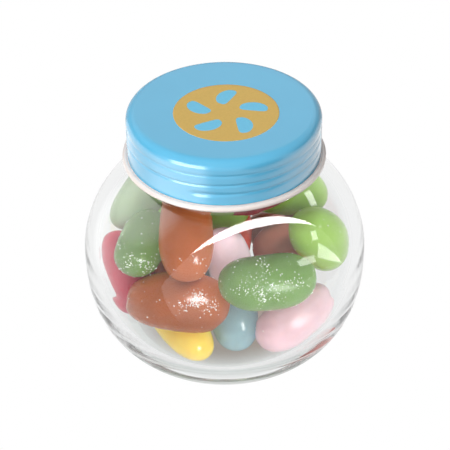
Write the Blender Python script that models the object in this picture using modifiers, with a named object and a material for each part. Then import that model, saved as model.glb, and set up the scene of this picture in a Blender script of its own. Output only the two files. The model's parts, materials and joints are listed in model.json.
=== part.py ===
"""A small round glass jar of sugar-coated jelly beans under a pressed metal screw lid.

Run with blender --background --python part.py, or from Blender's text editor.
Lengths are in millimetres and angles in degrees; MM turns lengths into Blender's metres.
The base's centre is the origin, +Z is up, and -Y faces the viewer.
"""

import math

import bmesh
import bpy

MM = 0.001
TURN_STEPS = 48

# Glass jar: a squashed ball on a flat base, drawn in to a straight neck.
BELLY_RADIUS = 28.0
BELLY_HEIGHT = 21.4
FOOT_DEPTH = 25.24  # half axis of the belly below its widest ring
FOOT_POWER = 2.535
SHOULDER_RISE = 24.47  # half axis of the belly above its widest ring
SHOULDER_POWER = 1.928
NECK_RADIUS = 17.0
RIM_HEIGHT = 52.1
RIM_ROUND = 0.8
WALL = 2.6
FLOOR = 4.0
MOUTH_RADIUS = 14.6
STANDING_RING = (17.9, 14.0)
PUSH_UP = 1.0  # how far the middle of the base is domed up
CAVITY_DEPTH = 22.0
CAVITY_RISE = SHOULDER_RISE - WALL

# Metal lid: a pressed cap with a rolled edge, which rests on the jar's rim.
LID_RADIUS = 18.78
LID_TOP = 53.05
LID_CORNER = 1.88
LID_PANEL = 0.6  # panel and its liner
LID_WALL = 0.5
GROOVE_HEIGHT = 50.0
GROOVE_DEPTH = 0.22
CURL_RADIUS = 19.12  # middle of the rolled edge
CURL_HEIGHT = 43.02
CURL_ROUND = 0.58

# Beans: a ball drawn out to blunt ends, then bent.
BEAN_SIDES = 14
BEAN_RINGS = 9
BLUNTNESS = 2.5
THICKNESS = 0.97  # of the width
BEND = 0.8
BEND_CENTRE = 0.35

# Name, colour, place of the middle, (heading, rise, roll), length, width, bend and taper.
# The long axis starts along +X: the roll turns it about itself, the rise lifts its far end
# and the heading turns it about Z.
FRONT_BEANS = (
    ("caramel_upright", "caramel", (-7.1, -11.5, 32.3), (90, 34, 190), 19.5, 10.2, 1.0, -0.04),
    ("caramel_lying", "caramel", (-9.3, -15.6, 19.08), (-18, 8, 40), 20.2, 10.5, 1.3, 0.12),
    ("green_front", "green", (7.8, -17.0, 24.6), (20, -9, 170), 18.8, 10.7, 0.6, 0.03),
    ("pink_front", "pink", (14.15, -10.95, 10.75), (42, 8, 55), 18.8, 9.5, BEND, -0.1),
    ("grey_blue_front", "grey_blue", (1.8, -7.8, 8.95), (93, 3, 0), 17.0, 9.7, BEND, 0.0),
    ("yellow_front", "yellow", (-8.7, -11.4, 8.7), (121, 5, 0), 17.5, 9.3, BEND, 0.0),
)
LEFT_BEANS = (
    ("magenta_left", "magenta", (-20.0, -3.6, 17.2), (115, 50, 20), 16.8, 9.0, BEND, 0.0),
    ("green_left", "green", (-15.8, -7.0, 26.4), (75, 10, 195), 15.0, 9.3, BEND, 0.0),
    ("pale_green_left", "pale_green", (-16.5, 6.6, 29.1), (200, -50, 160), 17.4, 9.2, 1.0, 0.0),
)
RIGHT_BEANS = (
    ("lime_right", "lime", (18.6, -4.0, 24.6), (48, -55, 25), 18.0, 10.6, BEND, 0.0),
    ("lime_high", "lime", (13.4, 6.6, 29.0), (20, -12, 0), 16.2, 10.0, BEND, 0.0),
    ("cola_right", "cola", (13.6, 4.7, 18.8), (35, 0, 0), 17.5, 9.6, BEND, 0.0),
)
MIDDLE_BEANS = (
    ("blush_middle", "blush", (0.7, -8.0, 22.4), (-155, 79, 35), 16.3, 9.0, BEND, 0.0),
    ("moss_middle", "moss", (-3.0, 1.9, 28.9), (0, 0, 0), 16.0, 10.0, BEND, 0.0),
    ("orange_middle", "orange", (1.1, 6.1, 19.1), (87, 5, 0), 17.0, 9.5, BEND, 0.0),
    ("wine_top", "wine", (7.3, -2.6, 38.3), (55, 8, 0), 17.5, 10.2, BEND, 0.0),
    ("rust_middle", "rust", (-10.5, 0.5, 18.5), (96, 7, 0), 17.5, 9.8, BEND, 0.0),
)
BACK_BEANS = (
    ("moss_back", "moss", (-11.6, 15.3, 20.6), (30, 17, 0), 18.0, 10.0, BEND, 0.0),
    ("caramel_back", "caramel", (5.4, 18.8, 21.8), (-15, 18, 0), 18.0, 10.0, BEND, 0.0),
    ("pale_green_back", "pale_green", (-0.5, 13.3, 30.2), (10, 7, 0), 17.5, 10.2, BEND, 0.0),
)
LOW_BEANS = (
    ("yellow_low", "yellow", (-4.8, 16.5, 10.1), (12, -3, 0), 17.6, 9.8, BEND, 0.0),
    ("cola_low", "cola", (11.8, 14.2, 11.9), (-46, -6, 0), 17.0, 9.6, BEND, 0.0),
    ("mint_low", "grey_blue", (-4.3, 4.2, 9.5), (56, -5, 0), 16.6, 9.6, BEND, 0.0),
    ("orange_low", "orange", (10.2, 1.6, 9.0), (98, 0, 0), 14.2, 9.6, BEND, 0.0),
    ("magenta_low", "magenta", (-16.0, 5.0, 10.0), (90, 13, 0), 17.5, 9.8, BEND, 0.0),
)
BEANS = FRONT_BEANS + LEFT_BEANS + RIGHT_BEANS + MIDDLE_BEANS + BACK_BEANS + LOW_BEANS

BEAN_COLOURS = {
    "caramel": (0.47, 0.15, 0.05),
    "green": (0.15, 0.38, 0.13),
    "pale_green": (0.42, 0.60, 0.30),
    "lime": (0.28, 0.55, 0.10),
    "pink": (0.85, 0.52, 0.58),
    "blush": (0.80, 0.55, 0.66),
    "grey_blue": (0.32, 0.46, 0.50),
    "yellow": (0.90, 0.60, 0.12),
    "magenta": (0.50, 0.08, 0.17),
    "cola": (0.30, 0.13, 0.10),
    "moss": (0.18, 0.33, 0.09),
    "orange": (0.78, 0.12, 0.04),
    "wine": (0.28, 0.03, 0.04),
    "rust": (0.38, 0.08, 0.04),
}


def clear_scene():
    """Remove every object, so that the script can be run again."""
    for item in list(bpy.data.objects):
        bpy.data.objects.remove(item, do_unlink=True)


def new_collection(name):
    """A collection of that name in the scene, new on the first run."""
    collection = bpy.data.collections.get(name) or bpy.data.collections.new(name)
    if name not in bpy.context.scene.collection.children:
        bpy.context.scene.collection.children.link(collection)
    return collection


def new_material(name, colour, roughness, metallic=0.0, clear=0.0):
    """A Principled material; clear is how much light goes through."""
    material = bpy.data.materials.new(name)
    material.use_nodes = True
    shader = material.node_tree.nodes["Principled BSDF"]
    shader.inputs["Base Color"].default_value = (*colour, 1.0)
    shader.inputs["Roughness"].default_value = roughness
    shader.inputs["Metallic"].default_value = metallic
    shader.inputs["Transmission Weight"].default_value = clear
    return material


def shell_radius(height, radius, depth, rise):
    """Radius at a height of a squashed ball with unlike powers below and above its belly."""
    if height < BELLY_HEIGHT:
        share = (BELLY_HEIGHT - height) / depth
        return radius * (1.0 - share**FOOT_POWER) ** (1.0 / FOOT_POWER)
    share = (height - BELLY_HEIGHT) / rise
    return radius * (1.0 - share**SHOULDER_POWER) ** (1.0 / SHOULDER_POWER)


def between(start, end, count):
    """Evenly spaced values from start to end, both included."""
    return [start + (end - start) * index / (count - 1) for index in range(count)]


def arc(centre, radius, start, end, count):
    """Points (across, up) on an arc about centre, angles from +X."""
    points = []
    for angle in between(math.radians(start), math.radians(end), count):
        points.append((centre[0] + radius * math.cos(angle), centre[1] + radius * math.sin(angle)))
    return points


def shell_wall(radius, depth, rise, neck, low, count):
    """The curved wall from low up to the neck, with count rings on each side of the belly."""
    neck_share = (1.0 - (neck / radius) ** SHOULDER_POWER) ** (1.0 / SHOULDER_POWER)
    angles = between(math.asin((low - BELLY_HEIGHT) / depth), 0.0, count)
    angles += between(0.0, math.asin(neck_share), count)[1:]
    points = []
    for angle in angles:
        half = depth if angle < 0.0 else rise
        height = BELLY_HEIGHT + half * math.sin(angle)
        points.append((shell_radius(height, radius, depth, rise), height))
    return points


def jar_profile():
    """Up the inside from the floor's centre, over the rim and down the outside to the base."""
    inside = shell_wall(BELLY_RADIUS - WALL, CAVITY_DEPTH, CAVITY_RISE, MOUTH_RADIUS, FLOOR, 6)
    outside = shell_wall(BELLY_RADIUS, FOOT_DEPTH, SHOULDER_RISE, NECK_RADIUS, 0.0, 6)
    rim_low = RIM_HEIGHT - RIM_ROUND
    rim = arc((MOUTH_RADIUS + RIM_ROUND, rim_low), RIM_ROUND, 180, 90, 3)
    rim += arc((NECK_RADIUS - RIM_ROUND, rim_low), RIM_ROUND, 90, 0, 3)
    ring_outer, ring_inner = STANDING_RING
    base = [(ring_outer, 0.0), (ring_inner, 0.0), (0.0, PUSH_UP)]
    return [(0.0, FLOOR)] + inside + rim + outside[::-1] + base


def lid_profile():
    """Out along the panel, down the skirt, round the rolled edge and back up the inside."""
    corner = arc((LID_RADIUS - LID_CORNER, LID_TOP - LID_CORNER), LID_CORNER, 90, 0, 4)
    groove = [
        (LID_RADIUS, GROOVE_HEIGHT + 0.7),
        (LID_RADIUS - GROOVE_DEPTH, GROOVE_HEIGHT),
        (LID_RADIUS, GROOVE_HEIGHT - 0.7),
    ]
    curl = arc((CURL_RADIUS, CURL_HEIGHT), CURL_ROUND, 130, -180, 6)
    inner_radius = LID_RADIUS - LID_WALL
    inner_corner = arc((inner_radius - 1.3, LID_TOP - LID_PANEL - 1.3), 1.3, 0, 90, 2)
    return [(0.0, LID_TOP)] + corner + groove + curl + inner_corner + [(0.0, LID_TOP - LID_PANEL)]


def turned(name, profile, material, collection):
    """Turn a profile of (radius, height) about Z with a Screw modifier."""
    mesh = bpy.data.meshes.new(name)
    points = [(radius * MM, 0.0, height * MM) for radius, height in profile]
    mesh.from_pydata(points, [(index, index + 1) for index in range(len(points) - 1)], [])
    mesh.materials.append(material)
    body = bpy.data.objects.new(name, mesh)
    collection.objects.link(body)
    screw = body.modifiers.new("turn", "SCREW")
    screw.axis = "Z"
    screw.angle = math.tau
    screw.steps = TURN_STEPS
    screw.render_steps = TURN_STEPS
    screw.use_merge_vertices = True
    screw.merge_threshold = 0.00001
    screw.use_smooth_shade = False
    return body


def bean_point(point, length, width, bend, taper):
    """Where a point of the unit ball goes: Z becomes the long axis X, with blunt ends."""
    along = max(-1.0, min(1.0, point.z))
    girth = (1.0 - abs(along) ** BLUNTNESS) ** (1.0 / BLUNTNESS) * (1.0 + taper * along)
    around = math.atan2(point.y, point.x)
    sideways = width / 2 * girth * math.cos(around)
    upwards = width / 2 * THICKNESS * girth * math.sin(around) - bend * (along**2 - BEND_CENTRE)
    return length / 2 * along * MM, sideways * MM, upwards * MM


def bean(name, material, place, turn, length, width, bend, taper, collection):
    """One jelly bean, placed by its location and rotation."""
    shape = bmesh.new()
    bmesh.ops.create_uvsphere(shape, u_segments=BEAN_SIDES, v_segments=BEAN_RINGS, radius=1.0)
    for vertex in shape.verts:
        vertex.co = bean_point(vertex.co, length, width, bend, taper)
    mesh = bpy.data.meshes.new(name)
    shape.to_mesh(mesh)
    shape.free()
    mesh.materials.append(material)
    body = bpy.data.objects.new(name, mesh)
    collection.objects.link(body)
    heading, rise, roll = turn
    body.location = [value * MM for value in place]
    body.rotation_euler = (math.radians(roll), -math.radians(rise), math.radians(heading))
    return body


clear_scene()
parts = new_collection("jelly_bean_jar")
turned("glass_jar", jar_profile(), new_material("glass", (0.93, 0.96, 0.95), 0.03, clear=1.0), parts)
turned("metal_lid", lid_profile(), new_material("lacquer", (0.19, 0.48, 0.70), 0.25, 0.3), parts)
sugar_shells = {}
for colour_name, colour in BEAN_COLOURS.items():
    sugar_shells[colour_name] = new_material("shell_" + colour_name, colour, 0.3)
for bean_name, colour_name, *form in BEANS:
    bean("bean_" + bean_name, sugar_shells[colour_name], *form, parts)
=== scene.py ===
"""A small round glass jar of sugar-shelled jelly beans under a blue lacquered screw lid."""

import json
import math

import bpy
import numpy as np
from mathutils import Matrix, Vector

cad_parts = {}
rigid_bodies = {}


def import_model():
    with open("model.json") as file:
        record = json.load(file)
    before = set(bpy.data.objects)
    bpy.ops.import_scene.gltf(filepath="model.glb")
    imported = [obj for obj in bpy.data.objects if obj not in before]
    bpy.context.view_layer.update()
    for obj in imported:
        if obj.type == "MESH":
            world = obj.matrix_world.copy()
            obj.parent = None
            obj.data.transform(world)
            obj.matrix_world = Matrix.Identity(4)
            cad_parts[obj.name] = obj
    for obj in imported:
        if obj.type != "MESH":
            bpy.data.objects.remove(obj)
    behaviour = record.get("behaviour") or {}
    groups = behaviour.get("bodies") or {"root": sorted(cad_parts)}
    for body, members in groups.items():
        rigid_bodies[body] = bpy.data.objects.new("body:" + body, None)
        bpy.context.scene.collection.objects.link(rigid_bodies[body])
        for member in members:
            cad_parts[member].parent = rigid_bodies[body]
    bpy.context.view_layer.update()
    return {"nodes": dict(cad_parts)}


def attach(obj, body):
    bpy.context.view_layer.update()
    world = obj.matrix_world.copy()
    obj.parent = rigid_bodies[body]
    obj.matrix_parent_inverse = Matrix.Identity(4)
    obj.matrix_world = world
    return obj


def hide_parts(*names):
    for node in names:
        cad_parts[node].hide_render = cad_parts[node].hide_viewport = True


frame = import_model()

MM = 0.001  # the pieces are sized in millimetres, the stage and its lamps in metres


# ---------------------------------------------------------------------------------------------
# The table and the light
# A white sweep of paper under and behind the jar, a dim room round it and an even light from
# the front left; the boxes that one piece mirrors are with that piece. None of it belongs to
# the jar.

VIEW_DISTANCE = 0.350
VIEW_HEIGHT = 0.025  # the point looked at, on the jar's axis
VIEW_RISE = 35.872
VIEW_ROLL = -0.729
LENS = 140.286
LENS_SHIFT = (0.001256, 0.00642)
SWEEP_SIZE = 0.9
GLASS_BOUNCES = 64  # light runs a long way about in the thick foot

WHITE = (1.0, 1.0, 1.0, 1.0)
ROOM_LIGHT = 0.2
ROOM_EDGE = (-0.1, 0.6)  # from there the room gives way to the paper, as cosines to FORWARD
SHADE_RADIUS = (0.010, 0.0235)  # where the shade under the foot starts and ends to fade
SHADE_DROP = 0.0001
SHADE_SIDES = 64
SHADE_LIGHT = (0.36, 0.31, 0.27, 1.0)
SHADE_EDGE_LIGHT = (0.74, 0.78, 0.77, 1.0)
THROUGH_LIGHT = 0.84  # what the paper gives through the glass
INNER_LIGHT = 0.88  # what the glass and the shells throw about inside
FORWARD = (0.0, 0.810, -0.586)  # the way the eye looks
UP = (0.0, 0.0, 1.0)
PAPER_LIGHT = 0.95
FILL_TO = (-28.0, 41.0)  # heading and rise of the soft light that falls on the jar's outside
FILL_EDGE = (0.5, 1.2)
FILL_OUTSIDE = (0.1, 5.05)  # away from it and towards it
FILL_INSIDE = (1.25, 1.95)  # from below and from above


def node(tree, kind, inputs=None, **settings):
    """Adds a node. A socket among inputs is linked to it, and any other value is set on it."""
    made = tree.nodes.new(kind)
    for name, value in settings.items():
        setattr(made, name, value)
    for name, value in (inputs or {}).items():
        if isinstance(value, bpy.types.NodeSocket):
            tree.links.new(value, made.inputs[name])
        else:
            made.inputs[name].default_value = value
    return made


def linear(hex_colour):
    """sRGB hex to linear: c / 12.92 below 0.04045, else ((c + 0.055) / 1.055) to the 2.4."""
    channels = [int(hex_colour[place:place + 2], 16) / 255 for place in (1, 3, 5)]
    return (*[c / 12.92 if c < 0.04045 else ((c + 0.055) / 1.055) ** 2.4 for c in channels], 1.0)


def way_to(heading, rise):
    """Unit vector, heading degrees round from the front to the right and rise degrees up."""
    turn, lift = math.radians(heading), math.radians(rise)
    level = math.cos(lift)
    return np.array((math.sin(turn) * level, -math.cos(turn) * level, math.sin(lift)))


class LightByWay:
    """Light that depends on the way a ray goes, in the nodes of a world or of a lamp."""

    def __init__(self, tree, way):
        self.tree, self.way = tree, way

    def facing(self, direction, edge, lights=(0.0, 1.0)):
        """Smooth step from one light to another while the cosine of the angle between the ray
        and a direction goes from one end of the edge to the other."""
        both = {0: self.way, 1: direction}
        cosine = node(self.tree, "ShaderNodeVectorMath", both, operation="DOT_PRODUCT")
        return node(self.tree, "ShaderNodeMapRange", {
            "Value": cosine.outputs["Value"], "From Min": edge[0], "From Max": edge[1],
            "To Min": lights[0], "To Max": lights[1],
        }, interpolation_type="SMOOTHSTEP").outputs["Result"]

    def inside(self, corners, soft):
        """1 inside a convex outline of directions, clockwise as the jar sees it: the least of
        the heights over the planes through neighbouring corners, and the jar."""
        ways = [way_to(*corner) for corner in corners]
        planes = [np.cross(other, one) for one, other in zip(ways, ways[1:] + ways[:1])]
        heights = [
            node(self.tree, "ShaderNodeVectorMath", {
                0: self.way, 1: tuple(plane / np.linalg.norm(plane))}, operation="DOT_PRODUCT")
            for plane in planes
        ]
        least = self.joined("MINIMUM", *[height.outputs["Value"] for height in heights])
        return node(self.tree, "ShaderNodeMapRange", {
            "Value": least, "From Min": -soft, "From Max": soft,
        }, interpolation_type="SMOOTHSTEP").outputs["Result"]

    def joined(self, operation, *lights):
        """Lights, or shares of light, joined one after another by a step of arithmetic."""
        whole = lights[0]
        for light in lights[1:]:
            both = {0: whole, 1: light}
            whole = node(self.tree, "ShaderNodeMath", both, operation=operation).outputs[0]
        return whole

    def laid_over(self, under, share, over):
        """One light where the share is 0, and the other over it where the share is 1."""
        lights = {"Factor": share, "A": under, "B": over}
        return node(self.tree, "ShaderNodeMix", lights, data_type="FLOAT").outputs["Result"]


def light_studio():
    """Light by direction: white to the eye, a dim room to a gloss, an even fill to a matt."""
    world = bpy.data.worlds.new("studio")
    world.use_nodes = True
    world.cycles.sampling_method = "NONE"
    bpy.context.scene.world = world
    tree = world.node_tree
    tree.nodes.clear()
    path = node(tree, "ShaderNodeLightPath")
    by_way = LightByWay(tree, node(tree, "ShaderNodeTexCoord").outputs["Generated"])

    def after(bounces):
        """1 for a ray that has bounced in this way."""
        return by_way.joined("GREATER_THAN", path.outputs[bounces + " Depth"], 0.5)

    through = after("Transmission")
    room = by_way.facing(FORWARD, ROOM_EDGE, (ROOM_LIGHT, PAPER_LIGHT))
    gloss = by_way.laid_over(room, through, INNER_LIGHT)
    outside = by_way.facing(way_to(*FILL_TO), FILL_EDGE, FILL_OUTSIDE)
    fill = by_way.laid_over(outside, through, by_way.facing(UP, (-1.0, 1.0), FILL_INSIDE))
    to_eye = by_way.laid_over(1.0, through, THROUGH_LIGHT)
    seen = by_way.laid_over(to_eye, after("Glossy"), gloss)
    light = by_way.laid_over(seen, after("Diffuse"), fill)
    background = node(tree, "ShaderNodeBackground", {"Color": WHITE, "Strength": light})
    node(tree, "ShaderNodeOutputWorld", {"Surface": background.outputs[0]})


def lay_sweep():
    """A flat square of white paper, bright enough that the jar casts no shadow on it."""
    paper = bpy.data.materials.new("white_paper")
    paper.use_nodes = True
    paper.node_tree.nodes.clear()
    glow = node(paper.node_tree, "ShaderNodeEmission", {"Color": WHITE, "Strength": 1.0})
    node(paper.node_tree, "ShaderNodeOutputMaterial", {"Surface": glow.outputs[0]})
    half = SWEEP_SIZE / 2
    mesh = bpy.data.meshes.new("sweep")
    corners = [(-half, -half, 0), (half, -half, 0), (half, half, 0), (-half, half, 0)]
    mesh.from_pydata(corners, [], [(0, 1, 2, 3)])
    mesh.materials.append(paper)
    sweep = bpy.data.objects.new("sweep", mesh)
    bpy.context.scene.collection.objects.link(sweep)
    sweep.visible_diffuse = False
    sweep.visible_glossy = False
    sweep.visible_transmission = False
    sweep.visible_shadow = False


def set_camera():
    """A long lens, looking down on the jar from the front, a hair off level."""
    eye = bpy.data.cameras.new("eye")
    eye.sensor_width = 36.0
    eye.lens = LENS
    eye.shift_x, eye.shift_y = LENS_SHIFT
    eye.clip_start, eye.clip_end = 0.01, 10.0
    camera = bpy.data.objects.new("camera", eye)
    bpy.context.scene.collection.objects.link(camera)
    rise, roll = math.radians(VIEW_RISE), math.radians(VIEW_ROLL)
    away, above = VIEW_DISTANCE * math.cos(rise), VIEW_DISTANCE * math.sin(rise)
    camera.location = (0.0, -away, VIEW_HEIGHT + above)
    camera.rotation_mode = "XYZ"
    level = Matrix.Rotation(math.pi / 2 - rise, 4, "X")
    camera.rotation_euler = (level @ Matrix.Rotation(roll, 4, "Z")).to_euler()
    bpy.context.scene.camera = camera


def lay_shade():
    """The jar's own shade on the paper under its foot, which only shows through the glass:
    a disc whose light rises from SHADE_LIGHT to SHADE_EDGE_LIGHT over its outer part."""
    shade = bpy.data.materials.new("shaded_paper")
    shade.use_nodes = True
    tree = shade.node_tree
    tree.nodes.clear()
    place = node(tree, "ShaderNodeTexCoord").outputs["Object"]
    radius = node(tree, "ShaderNodeVectorMath", {0: place}, operation="LENGTH").outputs["Value"]
    share = node(tree, "ShaderNodeMapRange", {
        "Value": radius, "From Min": SHADE_RADIUS[0], "From Max": SHADE_RADIUS[1],
    }, interpolation_type="SMOOTHSTEP").outputs["Result"]
    colour = node(tree, "ShaderNodeMix", {"Factor": share}, data_type="RGBA")
    colour.inputs[6].default_value = SHADE_LIGHT
    colour.inputs[7].default_value = SHADE_EDGE_LIGHT
    glow = node(tree, "ShaderNodeEmission", {"Color": colour.outputs[2]})
    node(tree, "ShaderNodeOutputMaterial", {"Surface": glow.outputs[0]})
    turn = np.linspace(0.0, 2 * math.pi, SHADE_SIDES, endpoint=False)
    points = SHADE_RADIUS[1] * np.stack([np.cos(turn), np.sin(turn), 0 * turn], -1)
    mesh = bpy.data.meshes.new("shade")
    mesh.from_pydata(points.tolist(), [], [tuple(range(SHADE_SIDES))])
    mesh.materials.append(shade)
    disc = bpy.data.objects.new("shade", mesh)
    disc.location = (0.0, 0.0, -SHADE_DROP)
    bpy.context.scene.collection.objects.link(disc)
    disc.visible_camera = False
    disc.visible_diffuse = False
    disc.visible_shadow = False


light_studio()
lay_sweep()
lay_shade()
set_camera()
scene = bpy.context.scene
scene.view_settings.view_transform = "Standard"
scene.cycles.use_denoising = True
scene.cycles.max_bounces = GLASS_BOUNCES
scene.cycles.transmission_bounces = GLASS_BOUNCES
scene.cycles.glossy_bounces = GLASS_BOUNCES


# ---------------------------------------------------------------------------------------------
# Glass jar
# A squashed ball on a flat base, blown in a mould from clear soda-lime glass: thick at the foot,
# even above it, and drawn in to a neck that the lid hides.

BELLY_RADIUS = 28.0
BELLY_HEIGHT = 21.4
FOOT_DEPTH = 25.24
FOOT_POWER = 2.535
SHOULDER_RISE = 24.47
SHOULDER_POWER = 1.928
NECK_RADIUS = 17.0
RIM_HEIGHT = 52.1
RIM_ROUND = 0.8
WALL = 2.6
FLOOR = 4.0
FLOOR_RADIUS = 15.2  # where the floor runs into the wall
MOUTH_RADIUS = 14.6
STANDING_RING = (17.9, 14.0)
PUSH_UP = 1.0
CAVITY_DEPTH = 22.0
JAR_SIDES = 192
CLEAR_GLASS = "#FDFEFE"


def glass_radius(height, radius, depth, rise):
    """radius times (1 - (h / half axis) to a power) to 1 / that power; h is from the belly."""
    low = np.clip((BELLY_HEIGHT - height) / depth, 0.0, 1.0)
    high = np.clip((height - BELLY_HEIGHT) / rise, 0.0, 1.0)
    foot = (1.0 - low**FOOT_POWER) ** (1.0 / FOOT_POWER)
    shoulder = (1.0 - high**SHOULDER_POWER) ** (1.0 / SHOULDER_POWER)
    return radius * foot * shoulder


def glass_wall(radius, depth, rise, neck, low, count):
    """(radius, height) up a wall from low to the neck, at even steps of the ball's angle."""
    neck_share = (1.0 - (neck / radius) ** SHOULDER_POWER) ** (1.0 / SHOULDER_POWER)
    below = np.linspace(math.asin((low - BELLY_HEIGHT) / depth), 0.0, count)
    above = np.linspace(0.0, math.asin(neck_share), count)[1:]
    heights = BELLY_HEIGHT + np.concatenate([depth * np.sin(below), rise * np.sin(above)])
    return np.stack([glass_radius(heights, radius, depth, rise), heights], -1)


def arc(centre, radius, start, end, count):
    """(radius, height) on an arc about centre, from start to end degrees above outwards."""
    angles = np.radians(np.linspace(start, end, count))
    return np.array(centre) + radius * np.stack([np.cos(angles), np.sin(angles)], -1)


def straight(start, end, count):
    """Evenly spaced (radius, height) between two points, both left out."""
    share = np.linspace(0.0, 1.0, count + 2)[1:-1, None]
    return np.array(start) * (1.0 - share) + np.array(end) * share


def round_skin(name, rings, first, last, material):
    """A closed piece from rings of points, rings[ring, side], with a pole at each end."""
    count, sides = rings.shape[:2]
    points = np.concatenate([rings.reshape(-1, 3), [first], [last]]) * MM
    ring = np.arange(count - 1)[:, None] * sides
    side = np.arange(sides)[None, :]
    after = (side + 1) % sides
    quads = np.stack([ring + side, ring + sides + side, ring + sides + after, ring + after], -1)
    quads = quads.reshape(-1, 4)
    turn = np.arange(sides)
    turned_on = (turn + 1) % sides
    top = (count - 1) * sides
    first_fan = np.stack([np.full(sides, count * sides), turn, turned_on], -1)
    last_fan = np.stack([np.full(sides, count * sides + 1), top + turned_on, top + turn], -1)
    mesh = bpy.data.meshes.new(name)
    mesh.from_pydata(points.tolist(), [], quads.tolist() + first_fan.tolist() + last_fan.tolist())
    mesh.materials.append(material)
    mesh.shade_smooth()
    piece = bpy.data.objects.new(name, mesh)
    bpy.context.scene.collection.objects.link(piece)
    return piece


def turn_profile(profile, sides):
    """A profile of (radius, height) carried round Z, as rings of points."""
    angles = np.linspace(0.0, 2 * math.pi, sides, endpoint=False)
    radius, height = profile[:, :1], profile[:, 1:]
    return np.stack([radius * np.sin(angles), -radius * np.cos(angles), height + 0 * angles], -1)


def jar_profile():
    """Up the inside from the floor, over the fire-rounded rim, and down the outside."""
    floor = straight((0.0, FLOOR), (FLOOR_RADIUS, FLOOR), 12)
    inner, rise = BELLY_RADIUS - WALL, SHOULDER_RISE - WALL
    inside = glass_wall(inner, CAVITY_DEPTH, rise, MOUTH_RADIUS, FLOOR, 40)
    outside = glass_wall(BELLY_RADIUS, FOOT_DEPTH, SHOULDER_RISE, NECK_RADIUS, 0.0, 48)
    low = RIM_HEIGHT - RIM_ROUND
    rim = np.concatenate([
        arc((MOUTH_RADIUS + RIM_ROUND, low), RIM_ROUND, 180, 90, 6),
        arc((NECK_RADIUS - RIM_ROUND, low), RIM_ROUND, 90, 0, 6),
    ])
    stand_outer, stand_inner = STANDING_RING
    base = np.concatenate([
        straight((stand_outer, 0.0), (stand_inner, 0.0), 4), [(stand_inner, 0.0)],
        straight((stand_inner, 0.0), (0.0, PUSH_UP), 10),
    ])
    return np.concatenate([floor, inside, rim, outside[::-1], base])


def soda_lime_glass():
    """Soda-lime glass, blown and fire-polished: quite clear, faintly green, smooth to the eye."""
    glass = bpy.data.materials.new("soda_lime_glass")
    glass.use_nodes = True
    shader = glass.node_tree.nodes["Principled BSDF"]
    shader.inputs["Base Color"].default_value = linear(CLEAR_GLASS)
    shader.inputs["Roughness"].default_value = 0.0
    shader.inputs["IOR"].default_value = 1.52
    shader.inputs["Transmission Weight"].default_value = 1.0
    return glass


walls = turn_profile(jar_profile(), JAR_SIDES)
jar = round_skin("jar", walls, (0, 0, FLOOR), (0, 0, PUSH_UP), soda_lime_glass())
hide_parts("glass_jar")
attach(jar, "root")

# Soft boxes that only the jar's outside mirrors. Directions are unit vectors or (heading,
# rise), and edges are cosines.
BOX_TO = (0.463, -0.879, -0.114)  # middle of the big soft box, seen from the jar
BOX_EDGE = 0.311  # cosine of its half angle
BOX_SOFT = 0.008
CLOTH_TO = (0.388, -0.831, -0.398)  # its cloth, which leaves a bright crescent of lamp above
CLOTH_EDGE = 0.136
CLOTH_LIGHT = (0.6, 1.2)  # away from its bright side and towards it
CLOTH_BRIGHT_TO = (-60, 10)
CLOTH_BRIGHT_EDGE = (0.1, 0.9)
CLOTH_FADE = (-0.62, -0.30)  # the cloth gives less below these heights
CRESCENT_LIGHT = 24.0
# The box goes on down over the lower cloth, and the cloth is open at the gap.
LOWER_CLOTH = ((-68, -40), (-35.3, 34.9), (10, 40), (10, -50))
GAP = ((31, 17), (36, 29), (48, 32), (64, 27), (73, 13), (72, -3), (60, -1))
GAP_SOFT = 0.02
PANE_SOFT = 0.015
PANES = (  # what shows between more boxes on the far right: light, then corners
    (8.0, ((88, 24), (92, 21), (89, 15.5), (84, 19))),
    (6.8, ((87, 14), (102, -15), (89, -3.5), (80, 7))),
    (7.5, ((62, 16), (70, 15), (78, 10), (77, 5), (63, 11))),
    (8.5, ((117, 32.5), (122, 26.5), (112.5, 23), (108, 28))),
)
LEFT_BOX_TO = (-0.962, 0.258, 0.087)
LEFT_BOX_EDGE = (0.78, 0.95)
LEFT_BOX_LIGHT = 1.2
FRONT_SCREEN = (28, 20)
SIDE_SCREEN = (92, 14)
LEFT_SCREEN = (-105, 5)
CEILING_TO = (-108, 36)  # the lit corner of the room over the left box
CEILING_EDGE = (0.80, 0.95)
CEILING_LIGHT = 3.0
SCREEN_DISTANCE = 0.25
SCREEN_EDGE = 2.2


def front_light(by_way):
    """The big box: its cloth, with a gap in it, and the crescent of lamp over the cloth."""
    round_box = by_way.facing(BOX_TO, (BOX_EDGE - BOX_SOFT, BOX_EDGE + BOX_SOFT))
    in_box = by_way.joined("MAXIMUM", round_box, by_way.inside(LOWER_CLOTH, BOX_SOFT))
    on_cloth = by_way.facing(CLOTH_TO, (CLOTH_EDGE - BOX_SOFT, CLOTH_EDGE + BOX_SOFT))
    bright = by_way.facing(way_to(*CLOTH_BRIGHT_TO), CLOTH_BRIGHT_EDGE, CLOTH_LIGHT)
    cloth = by_way.joined("MULTIPLY", by_way.facing(UP, CLOTH_FADE), bright)
    cloth = by_way.laid_over(cloth, by_way.inside(GAP, GAP_SOFT), 0.0)
    return by_way.laid_over(0.0, in_box, by_way.laid_over(CRESCENT_LIGHT, on_cloth, cloth))


def side_light(by_way):
    """The bright panes, one over another."""
    light = 0.0
    for pane_light, corners in PANES:
        light = by_way.laid_over(light, by_way.inside(corners, PANE_SOFT), pane_light)
    return light


def left_light(by_way):
    """The smaller box on the left and the lit ceiling over it, both with soft edges."""
    box = by_way.facing(LEFT_BOX_TO, LEFT_BOX_EDGE, (0.0, LEFT_BOX_LIGHT))
    ceiling = by_way.facing(way_to(*CEILING_TO), CEILING_EDGE, (0.0, CEILING_LIGHT))
    return by_way.joined("MAXIMUM", box, ceiling)


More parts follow.
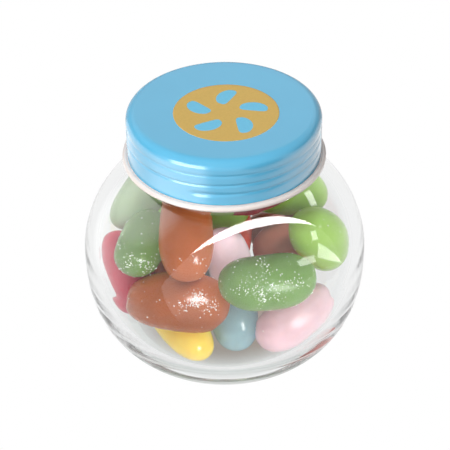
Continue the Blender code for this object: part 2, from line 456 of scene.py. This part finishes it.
def light_screen(name, place, light_by_way, lit):
    """A wide flat lamp near the jar that shines by direction alone, on one collection. Its
    energy is pi times its area, so that a light of 1 is as bright as white paper."""
    lamp = bpy.data.lights.new(name, "AREA")
    lamp.shape = "SQUARE"
    lamp.size = SCREEN_EDGE
    lamp.energy = math.pi * SCREEN_EDGE**2
    lamp.use_nodes = True
    tree = lamp.node_tree
    tree.nodes.clear()
    back = node(tree, "ShaderNodeNewGeometry").outputs["Incoming"]
    way = node(tree, "ShaderNodeVectorMath", {0: back, "Scale": -1.0}, operation="SCALE").outputs[0]
    glow = node(tree, "ShaderNodeEmission", {"Strength": light_by_way(LightByWay(tree, way))})
    node(tree, "ShaderNodeOutputLight", {"Surface": glow.outputs[0]})
    screen = bpy.data.objects.new(name, lamp)
    bpy.context.scene.collection.objects.link(screen)
    to_screen = Vector(way_to(*place))
    screen.location = to_screen * SCREEN_DISTANCE
    screen.rotation_euler = to_screen.to_track_quat("Z", "Y").to_euler()
    screen.visible_camera = False
    screen.visible_diffuse = False
    screen.visible_transmission = False
    screen.light_linking.receiver_collection = lit


jar_only = bpy.data.collections.new("jar_only")
jar_only.objects.link(jar)
light_screen("front_screen", FRONT_SCREEN, front_light, jar_only)
light_screen("side_screen", SIDE_SCREEN, side_light, jar_only)
light_screen("left_screen", LEFT_SCREEN, left_light, jar_only)


# ---------------------------------------------------------------------------------------------
# Jelly beans
# A soft jelly centre under a thin boiled-sugar shell, tumbled till it shines. Each lies where
# its solid lies; its length, widths, bend and fatter end are read from that solid.

SHELL_COLOURS = {
    "caramel": "#AE5D2B",
    "green": "#6D8F4F",
    "pale_green": "#9FB78E",
    "lime": "#88AC4A",
    "pink": "#D7B6BE",
    "blush": "#E4CAD2",
    "grey_blue": "#8AA4AA",
    "yellow": "#F5D35E",
    "magenta": "#B02240",
    "cola": "#AA6A55",
    "moss": "#A2CC6A",
    "orange": "#F04A20",
    "wine": "#8A2E38",
    "rust": "#9A4A34",
}
BEAN_RINGS = 40
BEAN_SIDES = 36
BLUNTNESS = 2.5
LUMP = 0.10  # how far the shell's own lumps stand out
LUMPS = ((2, 1), (3, 2), (4, 3), (5, 2))  # waves along and waves round
LUMP_STRETCH = 1.3
FULLEST = 0.3  # how far along, as a share of the half length, a tapered bean is widest
BODY = 0.95  # the share of the half length that is measured
PALE = (1.12, 0.02)  # times the colour, and plus
DEEP = 0.86
MOTTLE_WIDTH = 3.125  # of a cloudy patch
PEEL_WIDTH = 1 / 1.3  # of a dimple
PEEL_DEPTH = 0.2
PEEL_STRENGTH = 0.12


def bean_axes(points):
    """Middle, turn, half sizes, bend and taper of a bean solid.

    The tips are the two points furthest apart. Rings lie across the line between them, and
    their middles stand off it by bend times (1 - t squared), t being the share of the half
    length; that way is the bean's up. A ring's reach sideways and upwards gives the widths,
    and how the reach changes with t gives the taper."""
    points = np.unique(points.round(7), axis=0) / MM
    middle = points.mean(0)
    one = points[np.argmax(((points - middle) ** 2).sum(1))]
    other = points[np.argmax(((points - one) ** 2).sum(1))]
    along = (other - one) / np.linalg.norm(other - one)
    half_length = np.linalg.norm(other - one) / 2
    middle = (one + other) / 2
    share = (points - middle) @ along / half_length
    off = points - middle - np.outer(share * half_length, along)
    body = np.abs(share) < BODY
    weight = 1.0 - share[body] ** 2
    stand = (off[body] * weight[:, None]).sum(0) / (weight**2).sum()
    bend = np.linalg.norm(stand)
    up = stand / bend
    up -= along * (up @ along)
    up /= np.linalg.norm(up)
    side = np.cross(up, along)
    girth = (1.0 - np.abs(share[body]) ** BLUNTNESS) ** (1.0 / BLUNTNESS)
    ring = np.abs(off[body] @ side) / girth
    lift = np.abs(off[body] @ up - bend * weight) / girth
    reach = np.hypot(ring, lift)
    taper, _ = np.polyfit(share[body], reach, 1) / reach.mean()
    fullest = 1 + abs(taper) * FULLEST
    turn = np.stack([along, side, up])
    return middle, turn, half_length, ring.max() / fullest, lift.max() / fullest, bend, taper


def bean_skin(points, seed):
    """A ball drawn out along X: girth is (1 - t to the 2.5) to 1 / 2.5, swelling to one end
    by 1 + taper t, its middle line lifted by bend (1 - t squared), with a few low waves."""
    middle, turn, half_length, half_width, half_height, bend, taper = bean_axes(points)
    lean = np.linspace(0.0, math.pi, BEAN_RINGS + 2)[1:-1, None]
    around = np.linspace(0.0, 2 * math.pi, BEAN_SIDES, endpoint=False)[None, :]
    share = -np.sign(np.cos(lean)) * np.abs(np.cos(lean)) ** (2 / BLUNTNESS)
    girth = (1.0 - np.abs(share) ** BLUNTNESS) ** (1.0 / BLUNTNESS) * (1.0 + taper * share)
    draw = np.random.default_rng(seed)
    waves = np.zeros((BEAN_RINGS, BEAN_SIDES))
    for times_along, times_round in LUMPS:
        strength, start, turned = draw.uniform(-1, 1), draw.uniform(0, 6), draw.uniform(0, 6)
        along = np.sin(times_along * lean * LUMP_STRETCH + start)
        waves = waves + strength * along * np.cos(times_round * around + turned)
    fade = np.clip(girth, 0.0, 1.0)
    swell = 1.0 + LUMP * waves / half_width * fade
    across = half_width * girth * swell * np.cos(around)
    lift = half_height * girth * swell * np.sin(around) + bend * (1.0 - share**2)
    length = half_length * share + 0 * around
    rings = np.stack([length, across, lift], -1) @ turn + middle
    tips = np.array([[-half_length, 0, 0], [half_length, 0, 0]]) @ turn + middle
    return rings, tips


def sugar_shell(name, hex_colour):
    """Boiled-sugar shell over jelly, panned and polished: it glows a little, with a soft
    gloss and a faint orange-peel from the tumbling."""
    shell = bpy.data.materials.new(name)
    shell.use_nodes = True
    tree = shell.node_tree
    shader = tree.nodes["Principled BSDF"]
    place = node(tree, "ShaderNodeTexCoord").outputs["Object"]
    cloud = node(tree, "ShaderNodeTexNoise", {
        "Vector": place, "Scale": 1 / (MOTTLE_WIDTH * MM), "Detail": 3.0, "Roughness": 0.55})
    colour = linear(hex_colour)
    pale = tuple(min(1.0, c * PALE[0] + PALE[1]) for c in colour[:3]) + (1.0,)
    deep = tuple(c * DEEP for c in colour[:3]) + (1.0,)
    mottle = node(tree, "ShaderNodeMix", {"Factor": cloud.outputs["Fac"]}, data_type="RGBA")
    mottle.inputs[6].default_value = deep
    mottle.inputs[7].default_value = pale
    tree.links.new(mottle.outputs[2], shader.inputs["Base Color"])
    peel = node(tree, "ShaderNodeTexNoise", {
        "Vector": place, "Scale": 1 / (PEEL_WIDTH * MM), "Detail": 2.0})
    bump = node(tree, "ShaderNodeBump", {
        "Height": peel.outputs["Fac"], "Strength": PEEL_STRENGTH, "Distance": PEEL_DEPTH * MM})
    tree.links.new(bump.outputs[0], shader.inputs["Normal"])
    shader.inputs["Roughness"].default_value = 0.2
    shader.inputs["IOR"].default_value = 1.5
    shader.inputs["Specular IOR Level"].default_value = 0.25
    shader.inputs["Subsurface Weight"].default_value = 0.6
    shader.inputs["Subsurface Radius"].default_value = (1.0, 0.7, 0.5)
    shader.inputs["Subsurface Scale"].default_value = 0.003
    return shell


shells = {
    name: sugar_shell("sugar_shell_" + name, colour) for name, colour in SHELL_COLOURS.items()
}
beans = {}
for seed, name in enumerate(sorted(n for n in frame["nodes"] if n.startswith("bean_"))):
    solid = frame["nodes"][name]
    points = np.empty(len(solid.data.vertices) * 3)
    solid.data.vertices.foreach_get("co", points)
    slot_name = solid.data.materials[0].name
    rings, tips = bean_skin(points.reshape(-1, 3), seed)
    beans[name] = (rings, tips)
    colour = next(c for c in sorted(SHELL_COLOURS, key=len, reverse=True) if c in slot_name)
    bean = round_skin(name.replace("bean_", "shell_"), rings, tips[0], tips[1], shells[colour])
    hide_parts(name)
    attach(bean, "root")


# ---------------------------------------------------------------------------------------------
# Sugar
# Loose crystals of granulated sugar that cling to the shells, a tenth or two of a millimetre
# across; some beans picked up many and most only a few.

SUGARED = {
    "bean_green_front": 160, "bean_green_left": 110, "bean_caramel_lying": 70,
    "bean_lime_right": 50, "bean_caramel_upright": 20, "bean_lime_high": 30,
}
FEW_CRYSTALS = 7
CLUSTERS = {  # middle of each cluster, its spread, and how many crystals
    "bean_green_front": (
        ((8.2, -22.2, 26.5), 1.6, 90), ((6.7, -22.9, 25.2), 0.7, 26),
        ((10.9, -21.3, 26.0), 0.9, 40), ((13.3, -19.8, 26.2), 0.8, 24),
        ((7.9, -19.2, 29.5), 1.4, 34), ((4.4, -22.6, 27.0), 1.2, 34),
    ),
    "bean_green_left": (
        ((-16.0, -14.2, 27.5), 0.7, 34), ((-17.9, -14.2, 27.0), 1.0, 30),
        ((-14.1, -13.5, 25.9), 1.1, 40),
    ),
    "bean_caramel_lying": (
        ((-5.6, -20.5, 23.9), 0.8, 150), ((-8.2, -20.8, 23.0), 0.6, 26),
        ((-3.0, -20.8, 22.6), 0.7, 44),
    ),
    "bean_caramel_upright": (((-5.3, -19.5, 31.7), 1.2, 14),),
}
CRYSTAL = (0.09, 0.24)  # smallest and largest width
CRYSTAL_STRETCH = (0.7, 1.2)  # of each of its three widths
CRYSTAL_SEED = 71
FROST_WIDTH = 0.25  # of a dull speck, about one to a face
FROST_ROUGHNESS = (0.05, 0.35)
SUGAR_WHITE = "#F4F6F2"
CUBE = np.array([(x, y, z) for x in (-1, 1) for y in (-1, 1) for z in (-1, 1)]) / 2.0
CUBE_FACES = np.array([
    (0, 1, 3, 2), (4, 6, 7, 5), (0, 4, 5, 1), (2, 3, 7, 6), (0, 2, 6, 4), (1, 5, 7, 3)])


def scatter_crystals(rings, chance, count, draw):
    """Corners of cubes set in a shell: each near a point drawn by chance, turned at random
    and stretched by its own three widths, most of which are small."""
    where = draw.choice(chance.size, count, p=chance.ravel() / chance.sum())
    ring, side = np.unravel_index(where, chance.shape)
    spots, share = rings[ring, side], draw.uniform(0.0, 1.0, (2, count, 1))
    spots = spots + share[0] * (rings[np.minimum(ring + 1, len(rings) - 1), side] - spots)
    spots = spots + share[1] * (rings[ring, (side + 1) % rings.shape[1]] - rings[ring, side])
    turns, _ = np.linalg.qr(draw.normal(size=(count, 3, 3)))
    small, large = CRYSTAL
    widths = small + (large - small) * draw.uniform(0.0, 1.0, (count, 1, 1)) ** 2
    widths = widths * draw.uniform(*CRYSTAL_STRETCH, (count, 1, 3))
    return spots[:, None, :] + (CUBE[None] * widths) @ turns


def sugar_on(name, draw):
    """Crystals all over one bean, weighted by girth, and in its clusters, each of which is a
    bell curve of the distance from its middle."""
    rings = beans[name][0]
    girth = np.linalg.norm(rings - rings.mean(1, keepdims=True), axis=-1)
    found = [scatter_crystals(rings, girth, SUGARED.get(name, FEW_CRYSTALS), draw)]
    for middle, spread, count in CLUSTERS.get(name, ()):
        away = np.linalg.norm(rings - np.array(middle), axis=-1) / spread
        found.append(scatter_crystals(rings, girth * np.exp(-(away**2) / 2), count, draw))
    return np.concatenate(found)


def sugar_crystal():
    """Granulated sugar: clear crystals that look white and flash where a face is turned."""
    sugar = bpy.data.materials.new("sugar_crystal")
    sugar.use_nodes = True
    tree = sugar.node_tree
    shader = tree.nodes["Principled BSDF"]
    place = node(tree, "ShaderNodeTexCoord").outputs["Object"]
    frost = node(tree, "ShaderNodeTexNoise", {
        "Vector": place, "Scale": 1 / (FROST_WIDTH * MM), "Detail": 1.0})
    smooth, matt = FROST_ROUGHNESS
    rough = node(tree, "ShaderNodeMapRange", {
        "Value": frost.outputs["Fac"], "To Min": smooth, "To Max": matt})
    tree.links.new(rough.outputs["Result"], shader.inputs["Roughness"])
    shader.inputs["Base Color"].default_value = linear(SUGAR_WHITE)
    shader.inputs["IOR"].default_value = 1.54
    shader.inputs["Transmission Weight"].default_value = 0.35
    return sugar


draw = np.random.default_rng(CRYSTAL_SEED)
corners = np.concatenate([sugar_on(name, draw) for name in sorted(beans)])
faces = CUBE_FACES[None] + 8 * np.arange(len(corners))[:, None, None]
crystals = bpy.data.meshes.new("sugar")
crystals.from_pydata((corners.reshape(-1, 3) * MM).tolist(), [], faces.reshape(-1, 4).tolist())
crystals.materials.append(sugar_crystal())
sugar = bpy.data.objects.new("sugar", crystals)
bpy.context.scene.collection.objects.link(sugar)
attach(sugar, "root")


# ---------------------------------------------------------------------------------------------
# Lamps for the sweets
# Round soft lamps, two on the viewer's right and a weak one on the left, that shine past the
# glass on to the sweets alone, which shade each other, and small windows that single sweets
# mirror.

LOW_LAMP = (37.0, 11.0)  # heading and rise
HIGH_LAMP = (67.0, 60.0)
LEFT_LAMP = (-45.0, 20.0)
LAMP_DISTANCE = 0.25
LAMP_AIM = 0.022  # height of the point that the lamps stand round
LAMP_SIZE = (0.058, 0.058)
LEFT_LAMP_SIZE = (0.1, 0.1)
LOW_LAMP_LIGHT = 40.0
HIGH_LAMP_LIGHT = 40.0
LEFT_LAMP_LIGHT = 8.0
FRONT_LIT = (
    "shell_caramel_upright", "shell_green_front", "shell_yellow_front", "shell_green_left",
    "shell_pink_front", "shell_grey_blue_front", "shell_lime_right",
)
LEFT_LIT = (
    "shell_pink_front", "shell_grey_blue_front", "shell_lime_right", "shell_magenta_left",
    "shell_blush_middle",
)
LOW_SHADE_NOT = ("shell_caramel_lying",)  # throws no shade in the low lamp
HIGH_SHADE_NOT = ("shell_green_front",)  # throws none in the high one
GLINTS = {  # heading and rise, width and height, light
    "shell_caramel_upright": (50.0, 23.0, 0.07, 0.09, 55.0),
    "shell_caramel_lying": (14.0, 44.0, 0.26, 0.09, 54.0),
    "shell_green_front": (44.0, 4.0, 0.10, 0.11, 20.0),
    "shell_pink_front": (55.0, 38.0, 0.16, 0.22, 15.0),
    "shell_grey_blue_front": (56.0, 40.0, 0.05, 0.08, 40.0),
    "shell_yellow_front": (29.0, 8.0, 0.07, 0.07, 55.0),
    "shell_green_left": (28.0, 22.0, 0.07, 0.11, 60.0),
    "shell_lime_right": (55.0, 42.0, 0.05, 0.06, 20.0),
    "shell_blush_middle": (55.0, 42.0, 0.10, 0.10, 8.0),
}


def bean_lamp(name, place, size, light, sweets, shading, gloss):
    """An oval lamp for the sweets given, shaded by others: for their gloss alone, or for all
    but their gloss. Its energy is pi times its light times the oval's area."""
    lamp = bpy.data.lights.new(name, "AREA")
    lamp.shape = "ELLIPSE"
    lamp.size, lamp.size_y = size
    lamp.energy = light * math.pi * math.pi * size[0] * size[1] / 4
    lamp.cycles.use_multiple_importance_sampling = gloss
    oval = bpy.data.objects.new(name, lamp)
    bpy.context.scene.collection.objects.link(oval)
    way = Vector(way_to(*place))
    oval.location = way * LAMP_DISTANCE + Vector((0.0, 0.0, LAMP_AIM))
    oval.rotation_euler = way.to_track_quat("Z", "Y").to_euler()
    oval.visible_camera = False
    oval.visible_diffuse = not gloss
    oval.visible_glossy = gloss
    for kind, pieces in (("receiver", sweets), ("blocker", shading)):
        linked = bpy.data.collections.new(name + "_" + kind)
        for piece in pieces:
            linked.objects.link(piece)
        setattr(oval.light_linking, kind + "_collection", linked)


everything = bpy.context.scene.objects
sweets = {piece.name: piece for piece in everything if piece.name.startswith("shell_")}
front_lit = [sweets[name] for name in sweets if name in FRONT_LIT] + [sugar]
high_lit = [sweets[name] for name in sweets if name not in FRONT_LIT] + [sugar]
left_lit = [sweets[name] for name in LEFT_LIT]
low_shade = [sweets[name] for name in sweets if name not in FRONT_LIT + LOW_SHADE_NOT]
high_shade = [sweets[name] for name in sweets if name not in HIGH_SHADE_NOT]
bean_lamp("low_lamp", LOW_LAMP, LAMP_SIZE, LOW_LAMP_LIGHT, front_lit, low_shade, gloss=False)
bean_lamp("high_lamp", HIGH_LAMP, LAMP_SIZE, HIGH_LAMP_LIGHT, high_lit, high_shade, gloss=False)
bean_lamp("left_lamp", LEFT_LAMP, LEFT_LAMP_SIZE, LEFT_LAMP_LIGHT, left_lit, low_shade, gloss=False)
for name, (heading, rise, width, height, light) in GLINTS.items():
    own = [sweets[name]]
    bean_lamp("glint_on_" + name, (heading, rise), (width, height), light, own, own, gloss=True)


# ---------------------------------------------------------------------------------------------
# Metal lid
# A cap pressed from thin tinplate, lacquered sky blue outside and cream inside before pressing.
# Its thread is rolled into the skirt and its raw edge is curled outwards.

LID_SHIFT = 0.15  # the lid sits a hair to one side
LID_RADIUS = 18.78
LID_TOP = 53.03
LID_CORNER = 1.88
LID_PANEL = 0.6
LID_WALL = 0.5
LID_INNER_CORNER = 1.3
CURL_RADIUS = 19.12
CURL_HEIGHT = 43.02
CURL_ROUND = 0.58
UPPER_GROOVE = (50.0, 0.07, 0.33)  # height, depth and half width of the pressed ring
THREAD_START = (-22.0, 45.85)  # degrees from the front, and height
THREAD_PITCH = 1.95
THREAD_TURNS = 1.9
THREAD_GROOVE = (0.10, 0.28)  # depth and half width
THREAD_FADE = (6.0, 40.0)  # degrees over which it starts and ends
THREAD_SWELL = (0.9, 9.0, 13.0)  # how much more it is at its start, degrees on, and spread
SKIRT_FADE = (0.8, 0.5)  # heights over which all pressing starts and ends
SKIRT_REACH = 0.2  # how far up the corner it ends
CREVICE = (0.2, 0.12)  # depth and half width of the nip over the curl
CREAM_RINGS = 2  # the cream shows in that nip
LID_SIDES = 288
LACQUER_BLUE = "#4EA7CC"
CREAM = "#D8CCC6"
COAT_WIDTH = 100 / 9  # of a thicker patch
COAT_SPREAD = 0.04


def groove_depth(height, angle):
    """How far the skirt is pressed in: one ring, and a thread that climbs by its pitch each
    turn; each is a bell curve of the height. The thread fades in and out at its ends and is
    wider and deeper at its start, by a bell curve of the angle."""
    ring_height, ring_depth, ring_half = UPPER_GROOVE
    depth = ring_depth * np.exp(-(((height - ring_height) / ring_half) ** 2))
    begin, low = THREAD_START
    thread_depth, thread_half = THREAD_GROOVE
    swell, swell_at, swell_spread = THREAD_SWELL
    start, end = THREAD_FADE
    for turn in range(math.ceil(THREAD_TURNS) + 1):
        gone = (angle - begin) % 360.0 + 360.0 * turn
        middle = low + THREAD_PITCH * gone / 360.0
        fade = np.clip(gone / start, 0, 1) * np.clip((THREAD_TURNS * 360.0 - gone) / end, 0, 1)
        wide = 1.0 + swell * np.exp(-(((gone - swell_at) / swell_spread) ** 2))
        bell = np.exp(-(((height - middle) / (thread_half * wide)) ** 2))
        depth = depth + thread_depth * wide * fade * bell
    return depth


def lid_rings():
    """The cap's profile carried round Z, with its skirt pressed in by groove_depth and, over
    the curl, by a bell curve of the height; and how many of its rings are blue."""
    inner, corner_low, under = LID_RADIUS - LID_WALL, LID_TOP - LID_CORNER, LID_TOP - LID_PANEL
    start = math.degrees(math.acos((LID_RADIUS - CURL_RADIUS) / CURL_ROUND))
    crevice = CURL_HEIGHT + CURL_ROUND * math.sin(math.radians(start))
    outside = np.concatenate([
        straight((0.0, LID_TOP), (LID_RADIUS - LID_CORNER, LID_TOP), 14),
        arc((LID_RADIUS - LID_CORNER, corner_low), LID_CORNER, 90, 0, 16),
        straight((LID_RADIUS, corner_low), (LID_RADIUS, crevice), 90),
    ])
    inside = np.concatenate([
        straight((inner, CURL_HEIGHT), (inner, under - LID_INNER_CORNER), 12),
        arc((inner - LID_INNER_CORNER, under - LID_INNER_CORNER), LID_INNER_CORNER, 0, 90, 8),
        straight((inner - LID_INNER_CORNER, under), (0.0, under), 10),
    ])
    curl = arc((CURL_RADIUS, CURL_HEIGHT), CURL_ROUND, start, -180, 24)
    profile = np.concatenate([outside, curl, inside])
    angles = np.linspace(0.0, 360.0, LID_SIDES, endpoint=False)[None, :]
    radius, height = profile[:, :1], profile[:, 1:]
    low_fade, high_fade = SKIRT_FADE
    skirt = np.clip((height - crevice) / low_fade, 0, 1)
    skirt = skirt * np.clip((corner_low + SKIRT_REACH - height) / high_fade, 0, 1)
    on_skirt, on_outside = radius > inner - 0.1, np.abs(radius - LID_RADIUS) < 0.01
    nip_depth, nip_half = CREVICE
    nip = nip_depth * np.exp(-(((height - crevice) / nip_half) ** 2))
    reach = radius - (groove_depth(height, angles) * skirt * on_skirt + nip * on_outside)
    turn = np.radians(angles)
    rings = [LID_SHIFT + reach * np.sin(turn), -reach * np.cos(turn), height + 0 * turn]
    return np.stack(rings, -1), len(outside) - CREAM_RINGS


def uneven_film(tree, hex_colour, width, spread, detail):
    """A colour that runs from 1 - spread to 1 + spread times itself, in patches of a width."""
    place = node(tree, "ShaderNodeTexCoord").outputs["Object"]
    coat = node(tree, "ShaderNodeTexNoise", {
        "Vector": place, "Scale": 1 / (width * MM), "Detail": detail})
    tone = node(tree, "ShaderNodeMapRange", {
        "Value": coat.outputs["Fac"], "To Min": 1 - spread, "To Max": 1 + spread})
    both = {0: linear(hex_colour)[:3], "Scale": tone.outputs["Result"]}
    return node(tree, "ShaderNodeVectorMath", both, operation="SCALE").outputs[0]


def lacquered_tinplate(name, hex_colour, roughness):
    """Tinplate, roller-lacquered: an even film that takes a clear, slightly soft reflection,
    with a faint unevenness of tone where the coat is thicker."""
    lacquer = bpy.data.materials.new(name)
    lacquer.use_nodes = True
    tree = lacquer.node_tree
    shader = tree.nodes["Principled BSDF"]
    film = uneven_film(tree, hex_colour, COAT_WIDTH, COAT_SPREAD, detail=3.0)
    tree.links.new(film, shader.inputs["Base Color"])
    shader.inputs["Roughness"].default_value = roughness
    shader.inputs["IOR"].default_value = 1.5
    return lacquer


sky_blue = lacquered_tinplate("sky_blue_lacquer", LACQUER_BLUE, roughness=0.16)
cream = lacquered_tinplate("cream_lacquer", CREAM, roughness=0.3)
rings, blue_rings = lid_rings()
top, under = (LID_SHIFT, 0, LID_TOP), (LID_SHIFT, 0, LID_TOP - LID_PANEL)
lid = round_skin("lid", rings, top, under, sky_blue)
lid.data.materials.append(cream)
finish = np.repeat(np.arange(len(rings) - 1) >= blue_rings, LID_SIDES).astype(np.int32)
finish = np.concatenate([finish, np.zeros(LID_SIDES, np.int32), np.ones(LID_SIDES, np.int32)])
lid.data.polygons.foreach_set("material_index", finish)
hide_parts("metal_lid")
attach(lid, "root")


# What only the lid mirrors, by heading and rise; edges are cosines.
BACK = (0.0, 1.0, 0.0)
RIGHT = (1.0, 0.0, 0.0)
LID_ROOM = (0.6, 2.2, 1.1)  # light from below, from all round and from above
ROOM_BELOW = (-0.74, -0.64)
ROOM_ABOVE = (0.0, 0.5)
DARK_TO = (45.0, -8.0)
DARK_EDGE = (0.85, 0.97)
DARK_SHARE = 0.15  # what is left of the room's light there
FAR_EDGE = (0.20, 0.80)  # how far back the room starts and ends to fade
FAR_SHARE = 0.4
LOW_START = (-0.05, 0.05)
LOW_END = (0.25, 0.5)
BACK_EDGE = (-0.35, -0.05)
LOW_BACK_SHARE = 0.25  # low down behind, where the flat top would glare
LEFT_WALL = ((-22.0, -60.0), (-145.0, -60.0), (-145.0, -5.0), (-22.0, -5.0))
LEFT_WALL_SOFT = 0.15
LEFT_WALL_TO = (-40.0, -36.0)
LEFT_WALL_EDGE = (0.6, 1.0)
LEFT_WALL_LIGHT = (0.3, 3.9)
RIGHT_WALL_TO = (85.0, -36.0)
RIGHT_WALL_EDGE = (0.65, 0.95)
RIGHT_WALL_LIGHT = 0.55
WINDOW = ((-58.0, -16.0), (-60.0, 16.0), (-22.0, 20.0), (-20.0, -14.0))
WINDOW_SOFT = 0.06
WINDOW_LIGHT = 14.0
LID_SCREENS = {
    "lid_left_screen": (-60.0, -36.0),
    "lid_right_screen": (60.0, -36.0),
    "lid_top_screen": (0.0, 90.0),
}
SIDES_MEET = (-0.05, 0.05)
TOP_MEETS = (0.3, 0.5)


def lid_room(by_way):
    """The room's light by height, times what is left of it in the dark corner, at the far end
    and low down behind."""
    below, round_about, above = LID_ROOM
    low_back = by_way.joined(
        "MULTIPLY", by_way.facing(UP, LOW_START), by_way.facing(UP, LOW_END, (1.0, 0.0)),
        by_way.facing(BACK, BACK_EDGE))
    return by_way.joined(
        "MULTIPLY",
        by_way.facing(UP, ROOM_BELOW, (below, round_about)),
        by_way.facing(UP, ROOM_ABOVE, (1.0, above / round_about)),
        by_way.facing(way_to(*DARK_TO), DARK_EDGE, (1.0, DARK_SHARE)),
        by_way.facing(FORWARD, FAR_EDGE, (1.0, FAR_SHARE)),
        by_way.laid_over(1.0, low_back, LOW_BACK_SHARE),
    )


def lid_light(by_way, part):
    """The room, a wall on each side and a window on the left, as one of the three screens
    gives them; each screen keeps to its own part."""
    wall = by_way.facing(way_to(*LEFT_WALL_TO), LEFT_WALL_EDGE, LEFT_WALL_LIGHT)
    left = by_way.joined("MULTIPLY", by_way.inside(LEFT_WALL, LEFT_WALL_SOFT), wall)
    right = by_way.facing(way_to(*RIGHT_WALL_TO), RIGHT_WALL_EDGE, (0.0, RIGHT_WALL_LIGHT))
    window = by_way.joined("MULTIPLY", by_way.inside(WINDOW, WINDOW_SOFT), WINDOW_LIGHT)
    light = by_way.joined("ADD", lid_room(by_way), left, right, window)
    if part == "lid_top_screen":
        return by_way.joined("MULTIPLY", light, by_way.facing(UP, TOP_MEETS))
    ends = (0.0, 1.0) if part == "lid_right_screen" else (1.0, 0.0)
    own_side = by_way.facing(RIGHT, SIDES_MEET, ends)
    return by_way.joined("MULTIPLY", light, own_side, by_way.facing(UP, TOP_MEETS, (1.0, 0.0)))


lid_only = bpy.data.collections.new("lid_only")
lid_only.objects.link(lid)
for part, place in LID_SCREENS.items():
    light_screen(part, place, lambda by_way, part=part: lid_light(by_way, part), lid_only)


# ---------------------------------------------------------------------------------------------
# Print on the lid
# A plain gold disc and five sky blue jelly beans on it, screen-printed in two thin inks over
# the lacquer before the cap was pressed.

PRINT_CENTRE = (0.45, -1.35)
PRINT_RADIUS = 10.1
PRINT_INK = 0.006
PRINT_GOLD = "#CBAA60"
PRINT_BLUE = "#70BDDD"
PRINT_BEANS = 5
PRINT_BEAN = (5.6, 5.4, 3.0)  # how far out, length and width
PRINT_BEAN_LEAN = 62.0  # off the spoke
PRINT_BEAN_BLUNT = 0.7  # power of the sine that gives its girth
PRINT_BEAN_BEND = 0.1
PRINT_SIDES = 144
PRINT_BEAN_SIDES = 72
TOOTH_WIDTH = 1 / 2.2  # drawn coarser than the mesh's own, so that it shows
TOOTH_SPREAD = 0.06


def ink_patch(name, outline, centre, height, material):
    """A thin printed patch: its outline drawn in to the centre, over an upright rim."""
    shares = (0.25, 0.5, 0.75, 0.985, 1.0)
    top = np.stack([centre + (outline - centre) * share for share in shares])
    rings = np.concatenate([
        np.concatenate([top, np.full(top.shape[:2] + (1,), height)], -1),
        np.concatenate([top[-1:], np.full((1, len(outline), 1), height - PRINT_INK)], -1),
    ])
    return round_skin(name, rings, (*centre, height), (*centre, height - PRINT_INK), material)


def ring_outline(radius, count):
    """A circle, clockwise from above so that its patch faces up."""
    turn = np.linspace(0.0, 2 * math.pi, count, endpoint=False)
    return radius * np.stack([np.sin(turn), -np.cos(turn)], -1)


def bean_outline(place, heading, length, width):
    """A bean's plan: t is a cosine, the girth a sine to a power, and the middle line drops by
    bend times the length times (t squared - 0.4)."""
    turn = np.linspace(0.0, 2 * math.pi, PRINT_BEAN_SIDES, endpoint=False)
    along = np.cos(turn)
    girth = np.sign(np.sin(turn)) * np.abs(np.sin(turn)) ** PRINT_BEAN_BLUNT
    drop = PRINT_BEAN_BEND * length * (along**2 - 0.4)
    flat = np.stack([along * length / 2, girth * width / 2 - drop], -1)
    angle = math.radians(heading)
    spin = np.array([[math.cos(angle), math.sin(angle)], [-math.sin(angle), math.cos(angle)]])
    return flat @ spin + np.array(place)


def printing_ink(name, hex_colour, roughness):
    """Screen ink: a thin, even, slightly matt film with a fine tooth from the mesh."""
    ink = bpy.data.materials.new(name)
    ink.use_nodes = True
    tree = ink.node_tree
    shader = tree.nodes["Principled BSDF"]
    film = uneven_film(tree, hex_colour, TOOTH_WIDTH, TOOTH_SPREAD, detail=1.0)
    tree.links.new(film, shader.inputs["Base Color"])
    shader.inputs["Roughness"].default_value = roughness
    shader.inputs["Specular IOR Level"].default_value = 0.15
    return ink


print_middle = np.array(PRINT_CENTRE) + (LID_SHIFT, 0.0)
gold_ink = printing_ink("gold_ink", PRINT_GOLD, roughness=0.4)
blue_ink = printing_ink("sky_blue_ink", PRINT_BLUE, roughness=0.3)
round_outline = ring_outline(PRINT_RADIUS, PRINT_SIDES) + print_middle
disc = ink_patch("print_disc", round_outline, print_middle, LID_TOP + PRINT_INK, gold_ink)
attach(disc, "root")
for number in range(PRINT_BEANS):
    out, length, width = PRINT_BEAN
    spoke = 360.0 * number / PRINT_BEANS
    turn = math.radians(spoke)
    middle = print_middle + out * np.array([math.sin(turn), math.cos(turn)])
    shape = bean_outline(middle, PRINT_BEAN_LEAN - spoke, length, width)
    height = LID_TOP + 2 * PRINT_INK
    mark = ink_patch("print_bean_%d" % (number + 1), shape, middle, height, blue_ink)
    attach(mark, "root")
